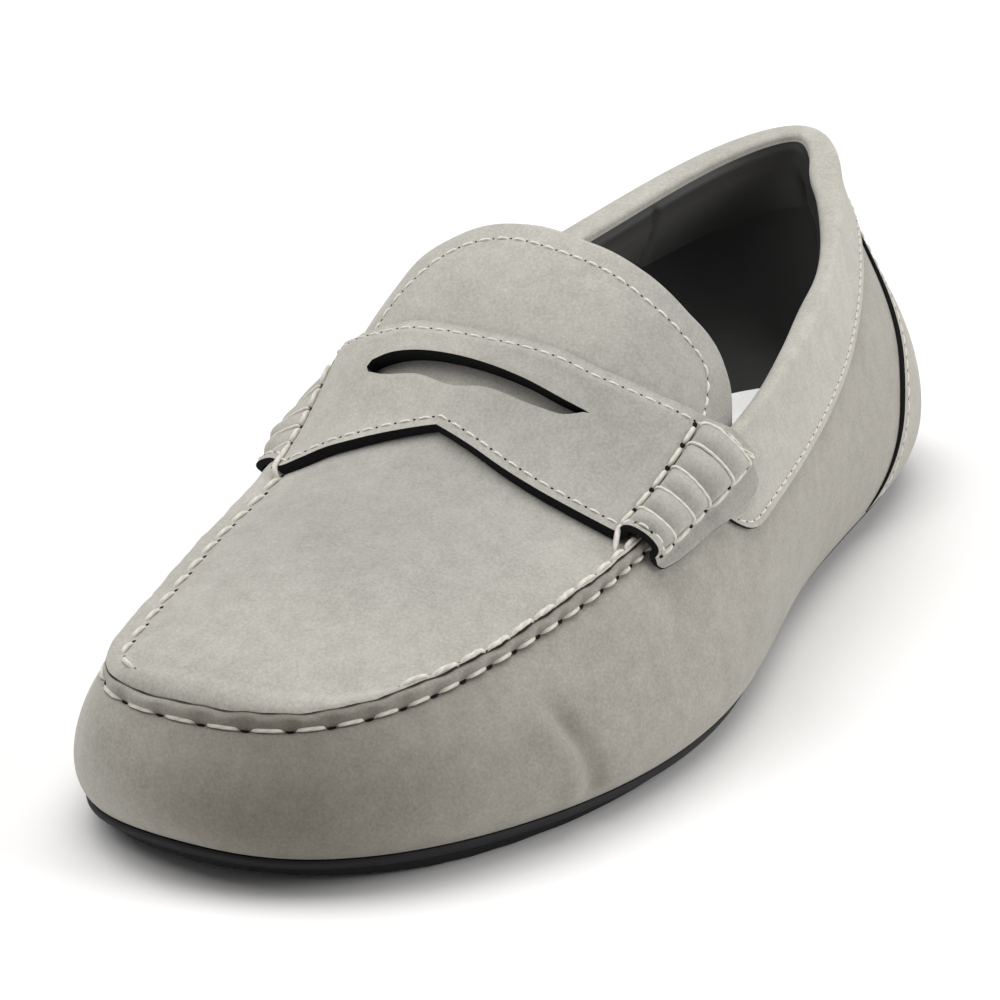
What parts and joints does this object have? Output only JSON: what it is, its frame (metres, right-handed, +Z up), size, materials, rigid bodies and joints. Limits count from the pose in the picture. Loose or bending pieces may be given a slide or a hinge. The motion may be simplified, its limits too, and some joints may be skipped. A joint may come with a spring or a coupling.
{
  "type": "slip-on shoe",
  "caption": "Left slip-on driving loafer in grey nubuck: hollow moccasin upper with a raised apron seam, slotted saddle strap with laced rolls, padded collar, heel patch and thin rubber sole.",
  "frame": {"origin": "on the floor plane, under the middle of the shoe's bounding box", "axes": "+X towards the toe, +Y towards the outer side of the left foot, +Z up"},
  "size_m": [0.2782, 0.1053, 0.0869],
  "materials": {
    "nubuck": "matte",
    "rubber_sole": "matte",
    "insole_lining": "matte",
    "cut_edge": "matte",
    "thread": "matte"
  },
  "bodies": {
    "root": {"outsole": "rubber_sole", "insole": "insole_lining", "upper": "nubuck", "tongue": "nubuck", "saddle_strap": "nubuck", "collar": "nubuck", "heel_patch": "nubuck"}
  },
  "joints": []
}
